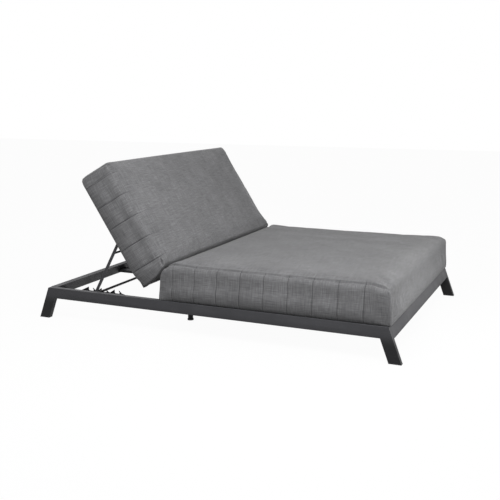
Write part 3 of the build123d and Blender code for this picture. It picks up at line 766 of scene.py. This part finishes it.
def woven_cloth(name, first_seam, base, half_width, face_share, crease_inset, crease_shade, sizes):
    """Mid-grey outdoor cloth: a slubbed weave, mottled, with stitched seams and a soft sheen, and painted shade
    towards the base of the sides, along the crease and in the seam grooves.
    """
    material, tree, shader = new_material(name)
    metres = node(tree, "ShaderNodeUVMap", uv_map=CLOTH_MAP).outputs["UV"]
    parts = node(tree, "ShaderNodeSeparateXYZ", {0: metres})
    along, across = parts.outputs[0], parts.outputs[1]
    slub_along = noise(tree, stretched(tree, metres, SLUB_STRETCH), 1.0)
    slub_across = noise(tree, stretched(tree, metres, crossed(SLUB_STRETCH)), 1.0)
    yarn_along = noise(tree, stretched(tree, metres, YARN_STRETCH), 1.0)
    yarn_across = noise(tree, stretched(tree, metres, crossed(YARN_STRETCH)), 1.0)
    mottle = noise(tree, stretched(tree, metres, MOTTLE_STRETCH), 1.0, PATCH_DETAIL, MOTTLE_ROUGHNESS)
    cloud = noise(tree, stretched(tree, metres, CLOUD_STRETCH), 1.0)
    turn = 2 * math.pi / sizes.thread_pitch
    warp = math_node(tree, "SINE", math_node(tree, "MULTIPLY", along, turn))
    weft = math_node(tree, "SINE", math_node(tree, "MULTIPLY", across, turn))
    weave = math_node(tree, "MULTIPLY", warp, weft)

    factor = shaded(tree, 1.0, slub_along, SLUB_SPREAD, SLUB_SPAN)
    factor = shaded(tree, factor, slub_across, SLUB_SPREAD, SLUB_SPAN)
    factor = shaded(tree, factor, yarn_along, YARN_ALONG_SPREAD)
    factor = shaded(tree, factor, yarn_across, YARN_ACROSS_SPREAD)
    factor = shaded(tree, factor, mottle, MOTTLE_SPREAD, MOTTLE_SPAN)
    factor = shaded(tree, factor, cloud, CLOUD_SPREAD)
    factor = shaded(tree, factor, weave, WEAVE_SPREAD, WAVE_SPAN)
    on_end = math_node(tree, "GREATER_THAN", along, END_SHIFT / 2)
    # Painted shade: the sides darken towards the cushion's base; the end faces keep their colour
    base_painted_shade = ramp(tree, across, base, base + BASE_SHADE_HEIGHT, BASE_SHADE, 1.0)
    factor = math_node(tree, "MULTIPLY", factor, math_node(tree, "MAXIMUM", base_painted_shade, on_end))

    from_middle = math_node(tree, "ABSOLUTE", math_node(tree, "SUBTRACT", across, FACE_SHIFT))
    on_face = math_node(tree, "GREATER_THAN", across, FACE_SHIFT / 2)
    # Painted shade: a dark line painted along the crease on the top faces
    past_crease = math_node(tree, "SUBTRACT", from_middle, half_width - crease_inset)
    from_crease = math_node(tree, "ABSOLUTE", past_crease)
    creased = math_node(tree, "MULTIPLY", ramp(tree, from_crease, 0.0, CREASE_LINE, 1.0, 0.0), on_face)
    factor = math_node(tree, "MULTIPLY", factor, ramp(tree, creased, 0, 1, 1.0, 1.0 - crease_shade))

    from_seam, seam_shown = seams_in(
        tree, along, across, on_face, from_middle, first_seam, half_width, face_share, sizes
    )
    # Painted shade: darker colour in the seam grooves
    groove = math_node(tree, "MULTIPLY", ramp(tree, from_seam, *GROOVE_LINE, 1.0, 0.0), seam_shown)
    factor = math_node(tree, "MULTIPLY", factor, ramp(tree, groove, 0, 1, 1.0, GROOVE_SHADE))
    dash = math_node(tree, "SINE", math_node(tree, "MULTIPLY", across, 2 * math.pi / sizes.stitch_length))
    on_stitch = ramp(tree, from_seam, *STITCH_LINE, 1.0, 0.0)
    stitch = math_node(tree, "MULTIPLY", ramp(tree, dash, *DASH_SPAN), on_stitch)
    stitch = math_node(tree, "MULTIPLY", stitch, seam_shown)
    cloth = shaded_colour(tree, tuple(sizes.cloth_colour), factor)
    sewn = math_node(tree, "MULTIPLY", stitch, STITCH_SHARE)
    colour = mixed_colour(tree, sewn, cloth, (*sizes.thread_colour, 1))
    link_or_set(tree, shader.inputs["Base Color"], colour)
    link_or_set(tree, shader.inputs["Roughness"], ramp(tree, mottle, *NOISE_SPAN, *CLOTH_ROUGHNESS))
    shader.inputs["Specular IOR Level"].default_value = CLOTH_SPECULAR
    shader.inputs["Sheen Weight"].default_value = CLOTH_SHEEN
    shader.inputs["Sheen Roughness"].default_value = CLOTH_SHEEN_ROUGHNESS

    threads = math_node(tree, "ADD", math_node(tree, "MULTIPLY", weave, WEAVE_RELIEF), slub_along)
    threads = math_node(tree, "ADD", threads, slub_across)
    threads = math_node(tree, "ADD", threads, math_node(tree, "MULTIPLY", stitch, STITCH_RELIEF))
    ripple_turn = 2 * math.pi / (RIPPLE_STITCHES * sizes.stitch_length)
    ripple = math_node(tree, "SINE", math_node(tree, "MULTIPLY", across, ripple_turn))
    pucker = math_node(tree, "MULTIPLY", ripple, ramp(tree, from_seam, *PUCKER_LINE, PUCKER_RELIEF, 0.0))
    threads = math_node(tree, "ADD", threads, math_node(tree, "MULTIPLY", pucker, seam_shown))
    bump = node(tree, "ShaderNodeBump", {"Height": threads, **THREAD_RELIEF})
    wrinkles = noise(tree, stretched(tree, metres, WRINKLE_STRETCH), 1.0, STREAK_DETAIL)
    wrinkle = node(
        tree, "ShaderNodeBump", {"Height": wrinkles, "Normal": bump.outputs["Normal"], **WRINKLE_RELIEF}
    )
    link_or_set(tree, shader.inputs["Normal"], wrinkle.outputs["Normal"])
    return material


def powder_coat(name, colour, grain, roughness):
    """Painted metal: a fine-grained coat in dull and shiny patches, scuffed, with painted shade that darkens it
    towards the floor and painted light that lightens it higher up.
    """
    material, tree, shader = new_material(name)
    place = node(tree, "ShaderNodeTexCoord").outputs["Object"]
    fine = noise(tree, place, 1 / grain)
    patches = noise(tree, place, PATCH_SCALE, STREAK_DETAIL)
    streaks = noise(tree, stretched(tree, place, STREAK_STRETCH), 1.0, STREAK_DETAIL)
    factor = shaded(tree, 1.0, patches, PATCH_SPREAD)
    factor = shaded(tree, factor, streaks, STREAK_SPREAD)
    factor = shaded(tree, factor, fine, GRAIN_SPREAD)
    # Painted shade near the floor and painted light higher up, by the height of each point
    height = node(tree, "ShaderNodeSeparateXYZ", {0: place}).outputs[2]
    factor = math_node(tree, "MULTIPLY", factor, ramp(tree, height, *SHADE_HEIGHTS, *SHADE_FACTORS))
    coat = shaded_colour(tree, colour, factor)
    rubbed = noise(tree, stretched(tree, place, SCUFF_STRETCH), 1.0, PATCH_DETAIL)
    scuffs = ramp(tree, rubbed, *SCUFF_SPAN)
    worn = tuple(min(1.0, WORN_GAIN * value + WORN_LIFT) for value in colour)
    colour = mixed_colour(tree, math_node(tree, "MULTIPLY", scuffs, COAT_WEAR), coat, (*worn, 1))
    link_or_set(tree, shader.inputs["Base Color"], colour)
    shiny, dull = (roughness + spread for spread in COAT_ROUGHNESS_SPREAD)
    link_or_set(tree, shader.inputs["Roughness"], ramp(tree, patches, *NOISE_SPAN, shiny, dull))
    shader.inputs["Specular IOR Level"].default_value = COAT_SPECULAR
    depth = grain * GRAIN_DEPTH_SHARE
    bump = node(tree, "ShaderNodeBump", {"Height": fine, "Strength": COAT_BUMP, "Distance": depth})
    link_or_set(tree, shader.inputs["Normal"], bump.outputs["Normal"])
    return material


def brushed_steel(name, colour):
    """Bare stainless steel with fine turning marks."""
    material, tree, shader = new_material(name)
    place = node(tree, "ShaderNodeTexCoord").outputs["Object"]
    marks = noise(tree, stretched(tree, place, TURNING_STRETCH), 1.0, STREAK_DETAIL)
    steel = shaded_colour(tree, colour, ramp(tree, marks, *NOISE_SPAN, *STEEL_SHADES))
    link_or_set(tree, shader.inputs["Base Color"], steel)
    link_or_set(tree, shader.inputs["Roughness"], ramp(tree, marks, *NOISE_SPAN, *STEEL_ROUGHNESS))
    shader.inputs["Metallic"].default_value = 1.0
    bump = node(tree, "ShaderNodeBump", {"Height": marks, **STEEL_RELIEF})
    link_or_set(tree, shader.inputs["Normal"], bump.outputs["Normal"])
    return material


def moulded_plastic(name, colour):
    """Black moulded plastic with a fine spark-eroded grain and scuffed patches."""
    material, tree, shader = new_material(name)
    place = node(tree, "ShaderNodeTexCoord").outputs["Object"]
    grain = noise(tree, place, SPARK_SCALE)
    scuff = noise(tree, place, PLASTIC_SCUFF_SCALE, PATCH_DETAIL)
    factor = ramp(tree, grain, *NOISE_SPAN, *SPARK_SHADES)
    scuffed = ramp(tree, scuff, *PLASTIC_SCUFF_SPAN, *PLASTIC_SCUFF_SHADES)
    factor = math_node(tree, "MULTIPLY", factor, scuffed)
    link_or_set(tree, shader.inputs["Base Color"], shaded_colour(tree, colour, factor))
    link_or_set(tree, shader.inputs["Roughness"], ramp(tree, scuff, *NOISE_SPAN, *PLASTIC_ROUGHNESS))
    bump = node(tree, "ShaderNodeBump", {"Height": grain, **PLASTIC_RELIEF})
    link_or_set(tree, shader.inputs["Normal"], bump.outputs["Normal"])
    return material


def dress(piece, material):
    """Gives a piece one material on all its faces."""
    piece.data.materials.clear()
    piece.data.materials.append(material)


def cushion_box(name, low, high, seams, sizes):
    """A cushion's box grid, finer at its seams, ends and sides."""
    offsets = [share * sizes.seam_width for share in SEAM_CUT_SHARES]
    cuts = [
        spaced(low.x, high.x, sizes.grid, [(seam, offsets) for seam in seams], END_CUTS),
        spaced(low.y, high.y, sizes.grid, [], SIDE_CUTS),
        spaced(low.z, high.z, sizes.grid * HEIGHT_STEP_SHARE, [], END_CUTS),
    ]
    return grid_box(name, cuts)


def height_shares(points, low, high):
    """0 at a cushion's base and 1 at its top."""
    return np.clip((points[:, 2] - low.z) / (high.z - low.z), 0, 1)


def shape_seat(points, low, high):
    """Crowns the seat, waves its top, swells its sides and drops its foot corners."""
    # x, y and z are views of the points, so they follow each move
    x, y, z = points.T
    height = height_shares(points, low, high)
    raised = height ** 2
    half = high.y
    from_centre = (x - (low.x + high.x) / 2) / (high.x - low.x) * 2
    crown = SEAT_CROWN * (1 - (y / half) ** 2) * (1 - from_centre ** 4)
    z += crown * raised * smooth(x, low.x, low.x + SEAT_CROWN_FADE)
    rear_start, rear_stop = SEAT_WAVE_REAR_FADE
    inner = smooth(half - np.abs(y), *WAVE_SIDE_FADE) * smooth(x, low.x + rear_start, low.x + rear_stop)
    inner *= smooth(high.x - x, *SEAT_WAVE_FOOT_FADE)
    z += soft_waves(points, low, high, SEAT_WAVE_SEED) * inner * raised
    fold = ridge(y - SEAT_FOLD_PLACE, SEAT_FOLD_WIDTH) * smooth(x, *SEAT_FOLD_REAR_FADE)
    fold *= smooth(high.x - x, *SEAT_FOLD_FOOT_FADE)
    z += SEAT_FOLD_HEIGHT * fold * raised
    bulge = SEAT_BULGE * (1 - (2 * height - 1) ** 2)
    bulge -= SEAT_DRAW * np.clip(1 - height / SEAT_DRAW_SHARE, 0, 1) ** 2
    bulge *= smooth(np.abs(y), half - SEAT_BULGE_DEPTH, half) * smooth(x, low.x, low.x + SEAT_BULGE_FADE)
    y += np.sign(y) * bulge
    corner = 1 - smooth(half - np.abs(y), 0.0, SEAT_CORNER_REACH)
    corner *= (1 - smooth(high.x - x, 0.0, SEAT_CORNER_REACH)) * np.where(y > 0, SEAT_FAR_CORNER_SHARE, 1.0)
    z -= SEAT_CORNER_DROP * corner * raised
    x -= SEAT_CORNER_DRAW * corner * raised
    y -= np.sign(y) * SEAT_CORNER_DRAW * corner * raised


def shape_back(points, low, high):
    """Crowns the back cushion, laps it over the stiles, cuts its heel and rounds its two shoulders."""
    # x, y and z are views of the points, so they follow each move
    x, y, z = points.T
    height = height_shares(points, low, high)
    raised = height ** 2
    half = high.y
    share = (x - low.x) / (high.x - low.x)
    crown = BACK_CROWN_ACROSS * (1 - (y / half) ** 2) + BACK_CROWN_ALONG * (1 - (2 * share - 1) ** 2)
    z += crown * raised
    lap_start, lap_stop = LAP_END_FADE
    lap = smooth(np.abs(y), *LAP_SIDE_FADE) * smooth(x, low.x + lap_start, low.x + lap_stop)
    z -= LAP_DEPTH * lap * (1 - height) ** 2
    low_start, low_stop = BACK_WAVE_LOW_FADE
    inner = smooth(half - np.abs(y), *WAVE_SIDE_FADE) * smooth(x, low.x + low_start, low.x + low_stop)
    inner *= smooth(high.x - x, *BACK_WAVE_HIGH_FADE)
    z += soft_waves(points, low, high, BACK_WAVE_SEED) * inner * raised
    heel = np.maximum(0, z - HEEL_START) * math.tan(HEEL_ANGLE) + HEEL_DRAW
    x += heel * np.clip(1 - (x - low.x) / HEEL_LENGTH, 0, 1)
    z += HEEL_LIFT * np.clip(1 - (x - low.x) / HEEL_LIFT_LENGTH, 0, 1) * (1 - height)
    from_head = np.maximum(0, SHOULDER_ROUND - (high.x - x))
    from_side = np.maximum(0, SHOULDER_ROUND - (half - np.abs(y)))
    new_head, new_side = square_to_round(from_head, from_side)
    inside = (from_head > 0) & (from_side > 0)
    points[:, 0] = np.where(inside, high.x - SHOULDER_ROUND + new_head, x)
    points[:, 1] = np.where(inside, np.sign(y) * (half - SHOULDER_ROUND + new_side), y)


def stand_on_slope(piece):
    """Carries a piece from the slope's own coordinates to the world."""
    local = read_points(piece.data)
    world = np.outer(local[:, 0], np.array(UP_SLOPE)) + np.outer(local[:, 2], np.array(OUT_OF_SLOPE))
    world += np.array(HINGE)
    world[:, 1] += local[:, 1]
    write_points(piece.data, world)


class LOUNGER_OT_seat_cushion(bpy.types.Operator):
    """Pads the seat cushion: a box with a big round rear edge, swollen, seamed and creased"""

    bl_idname = "lounger.seat_cushion"
    bl_label = "Seat Cushion"

    def execute(self, context):
        sizes = context.scene.lounger_cushions
        low = Vector((SEAT_LOW.x - SEAT_REAR_REACH, -SEAT_HALF_WIDTH, SEAT_LOW.z + SEAT_LIFT))
        high = Vector((SEAT_HIGH.x + SEAT_FOOT_REACH, SEAT_HALF_WIDTH, SEAT_LOW.z + SEAT_THICKNESS))
        last = SEAT_HIGH.x - LAST_SEAM_MARGIN
        seams = seam_places(sizes.seat_first_seam, sizes.seam_pitch, SEAT_LOW.x, last)
        piece = cushion_box("seat_pad", low, high, seams, sizes)
        corners = [
            (-1, 1, SEAT_REAR_ROUND),
            (1, 1, SEAT_FOOT_ROUND),
            (-1, -1, SEAT_BASE_ROUND),
            (1, -1, SEAT_BASE_ROUND),
        ]
        rolls = (SEAT_REAR_ROLL, SEAT_FOOT_ROLL, SEAT_BASE_ROLL, sizes.edge_roll)
        points = rounded(read_points(piece.data), low, high, rolls, corners)
        height = height_shares(points, low, high)
        shape_seat(points, low, high)
        write_points(piece.data, points)
        settle(piece, height, sizes)
        subdivide_once(piece)
        sew(piece, low, high, seams, sizes, SEAT_FACE_SEAM_SHARE, sizes.crease_inset, 1.0)
        for fold in SEAT_PINCHES:
            pinch(piece, **fold)
        first_seam = SEAT_LOW.x + sizes.seat_first_seam
        cloth = woven_cloth(
            "seat_cloth", first_seam, low.z, high.y, SEAT_FACE_STITCH_SHARE, sizes.crease_inset,
            SEAT_CREASE_SHADE, sizes,
        )
        dress(piece, cloth)
        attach(piece, "base_frame")
        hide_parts("seat_cushion")
        return {"FINISHED"}


class LOUNGER_OT_back_cushion(bpy.types.Operator):
    """Pads the back cushion in the slope's own coordinates and stands it on the back frame"""

    bl_idname = "lounger.back_cushion"
    bl_label = "Back Cushion"

    def execute(self, context):
        sizes = context.scene.lounger_cushions
        low = Vector((BACK_LOW_END, -BACK_HALF_WIDTH, BACK_DECK + BACK_LIFT))
        high = Vector((BACK_HIGH_END, BACK_HALF_WIDTH, BACK_DECK + BACK_THICKNESS))
        last = BACK_HIGH_END - LAST_SEAM_MARGIN
        seams = seam_places(sizes.back_first_seam, sizes.seam_pitch, BACK_LOW_END, last)
        piece = cushion_box("back_pad", low, high, seams, sizes)
        corners = [
            (-1, 1, BACK_LOW_ROUND),
            (1, 1, BACK_HIGH_ROUND),
            (-1, -1, BACK_LOW_BASE_ROUND),
            (1, -1, BACK_HIGH_BASE_ROUND),
        ]
        points = read_points(piece.data)
        heel_roll, face_roll = BACK_FACE_ROLLS
        rolls = (
            BACK_LOW_ROLL,
            BACK_HIGH_ROLL,
            BACK_BASE_ROLL,
            heel_roll + (face_roll - heel_roll) * smooth(points[:, 0], *BACK_FACE_ROLL_FADE),
        )
        points = rounded(points, low, high, rolls, corners)
        height = height_shares(points, low, high)
        shape_back(points, low, high)
        write_points(piece.data, points)
        settle(piece, height, sizes)
        subdivide_once(piece)
        sew(piece, low, high, seams, sizes, BACK_FACE_SEAM_SHARE, BACK_CREASE_INSET, BACK_CREASE_SHARE)
        plump(piece, **HEEL_PLUMP)
        for fold in BACK_PINCHES:
            pinch(piece, **fold)
        stand_on_slope(piece)
        first_seam = BACK_LOW_END + sizes.back_first_seam
        cloth = woven_cloth(
            "back_cloth", first_seam, low.z, high.y, BACK_FACE_STITCH_SHARE, BACK_CREASE_INSET,
            BACK_CREASE_SHADE, sizes,
        )
        dress(piece, cloth)
        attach(piece, "back_cushion")
        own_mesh(piece)
        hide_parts("back_cushion")
        return {"FINISHED"}


class LOUNGER_OT_finish_metal(bpy.types.Operator):
    """Gives every metal and plastic part of the frame its coat, by its material slot"""

    bl_idname = "lounger.finish_metal"
    bl_label = "Frame Finishes"

    def execute(self, context):
        look = context.scene.lounger_frame
        charcoal, black = tuple(look.coat_colour), tuple(look.black_colour)
        finishes = {
            "frame_metal": powder_coat("charcoal_powder_coat", charcoal, look.coat_grain, COAT_ROUGHNESS),
            "black_steel": powder_coat("black_paint", black, look.coat_grain, BLACK_ROUGHNESS),
            "black_plastic": moulded_plastic("moulded_plastic", tuple(look.plastic_colour)),
            "fastener_steel": brushed_steel("brushed_steel", tuple(look.steel_colour)),
        }
        for row in frame["record"]["subparts"]:
            if row["material_slot"] in finishes:
                dress(frame["nodes"][row["node"]], finishes[row["material_slot"]])
        return {"FINISHED"}


class LOUNGER_OT_stage(bpy.types.Operator):
    """Lays a pale floor, hangs the soft lamps and sets the camera at the photograph's angle"""

    bl_idname = "lounger.stage"
    bl_label = "Stage"

    def execute(self, context):
        look = context.scene.lounger_stage
        scene = context.scene
        scene.view_settings.view_transform = "Standard"
        bpy.ops.object.select_all(action="DESELECT")
        bpy.ops.mesh.primitive_plane_add(size=look.floor_size, location=(0, 0, 0))
        floor = context.object
        floor.name = "floor"
        dress(floor, self.floor_paint())
        scene.world = self.studio_world(look.daylight)
        self.lamp("key_lamp", **KEY_LAMP, power=look.key_power)
        self.lamp("foot_lamp", **FOOT_LAMP, power=look.foot_power, spread=FOOT_SPREAD)
        self.lamp("fill_lamp", **FILL_LAMP, power=look.fill_power)
        camera = bpy.data.objects.new("camera", bpy.data.cameras.new("camera"))
        scene.collection.objects.link(camera)
        camera.location = look.camera_place
        camera.rotation_euler = (math.pi / 2 - look.camera_tilt, 0, look.camera_turn)
        camera.data.lens = look.camera_lens
        camera.data.sensor_width = SENSOR_WIDTH
        scene.camera = camera
        return {"FINISHED"}

    def lamp(self, name, place, aim, size, power, spread=math.pi):
        """A soft rectangular lamp that shines on a point."""
        data = bpy.data.lights.new(name, "AREA")
        data.shape = "RECTANGLE"
        data.size, data.size_y = size
        data.energy = power
        data.spread = spread
        lamp = bpy.data.objects.new(name, data)
        bpy.context.scene.collection.objects.link(lamp)
        lamp.location = place
        lamp.rotation_euler = (Vector(aim) - Vector(place)).to_track_quat("-Z", "Y").to_euler()

    def seen_white(self, tree):
        """1 for what the camera sees straight or in a gloss, else 0."""
        path = node(tree, "ShaderNodeLightPath").outputs
        seen = math_node(tree, "MAXIMUM", path["Is Camera Ray"], path["Is Glossy Ray"])
        return math_node(tree, "MAXIMUM", seen, path["Is Transmission Ray"])

    def floor_paint(self):
        """A pale floor that looks white and keeps a faint shadow."""
        material = bpy.data.materials.new("pale_floor")
        material.use_nodes = True
        tree = material.node_tree
        tree.nodes.clear()
        seen = self.seen_white(tree)
        pale = mixed_colour(tree, seen, FLOOR_LIT, FLOOR_SEEN)
        paint = node(tree, "ShaderNodeBsdfDiffuse", {"Color": pale})
        glow = node(tree, "ShaderNodeEmission", {"Color": WHITE, "Strength": 1.0})
        share = math_node(tree, "MULTIPLY", seen, FLOOR_GLOW_SHARE)
        mixed = node(tree, "ShaderNodeMixShader", {0: share, 1: paint.outputs[0], 2: glow.outputs[0]})
        node(tree, "ShaderNodeOutputMaterial", {"Surface": mixed.outputs[0]})
        return material

    def studio_world(self, daylight):
        """Even light all round, white where it is seen."""
        world = bpy.data.worlds.new("studio")
        world.use_nodes = True
        tree = world.node_tree
        tree.nodes.clear()
        even = node(tree, "ShaderNodeBackground", {"Color": WHITE, "Strength": daylight})
        white = node(tree, "ShaderNodeBackground", {"Color": WHITE, "Strength": 1.0})
        seen = self.seen_white(tree)
        mixed = node(tree, "ShaderNodeMixShader", {0: seen, 1: even.outputs[0], 2: white.outputs[0]})
        node(tree, "ShaderNodeOutputWorld", {"Surface": mixed.outputs[0]})
        return world


OPERATORS = (LOUNGER_OT_finish_metal, LOUNGER_OT_seat_cushion, LOUNGER_OT_back_cushion, LOUNGER_OT_stage)


class LOUNGER_PT_panel(bpy.types.Panel):
    """Lists the lounger's sizes and steps"""

    bl_label = "Lounger"
    bl_idname = "LOUNGER_PT_panel"
    bl_space_type = "VIEW_3D"
    bl_region_type = "UI"
    bl_category = "Lounger"

    def draw(self, context):
        for group in SETTINGS:
            settings = getattr(context.scene, group)
            box = self.layout.box()
            for key in settings.__annotations__:
                box.prop(settings, key)
        for operator in OPERATORS:
            self.layout.operator(operator.bl_idname)


SETTINGS = {
    "lounger_cushions": LoungerCushionSettings,
    "lounger_frame": LoungerFrameSettings,
    "lounger_stage": LoungerStageSettings,
}


def register():
    """Registers the settings, the operators and the panel."""
    for kind in (*SETTINGS.values(), *OPERATORS, LOUNGER_PT_panel):
        bpy.utils.register_class(kind)
    for group, kind in SETTINGS.items():
        setattr(bpy.types.Scene, group, PointerProperty(type=kind))


def unregister():
    """Takes them out again."""
    for group in SETTINGS:
        delattr(bpy.types.Scene, group)
    for kind in reversed((*SETTINGS.values(), *OPERATORS, LOUNGER_PT_panel)):
        bpy.utils.unregister_class(kind)


def main():
    """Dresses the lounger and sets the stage."""
    register()
    bpy.ops.lounger.finish_metal()
    bpy.ops.lounger.seat_cushion()
    bpy.ops.lounger.back_cushion()
    bpy.ops.lounger.stage()


if __name__ == "__main__":
    main()
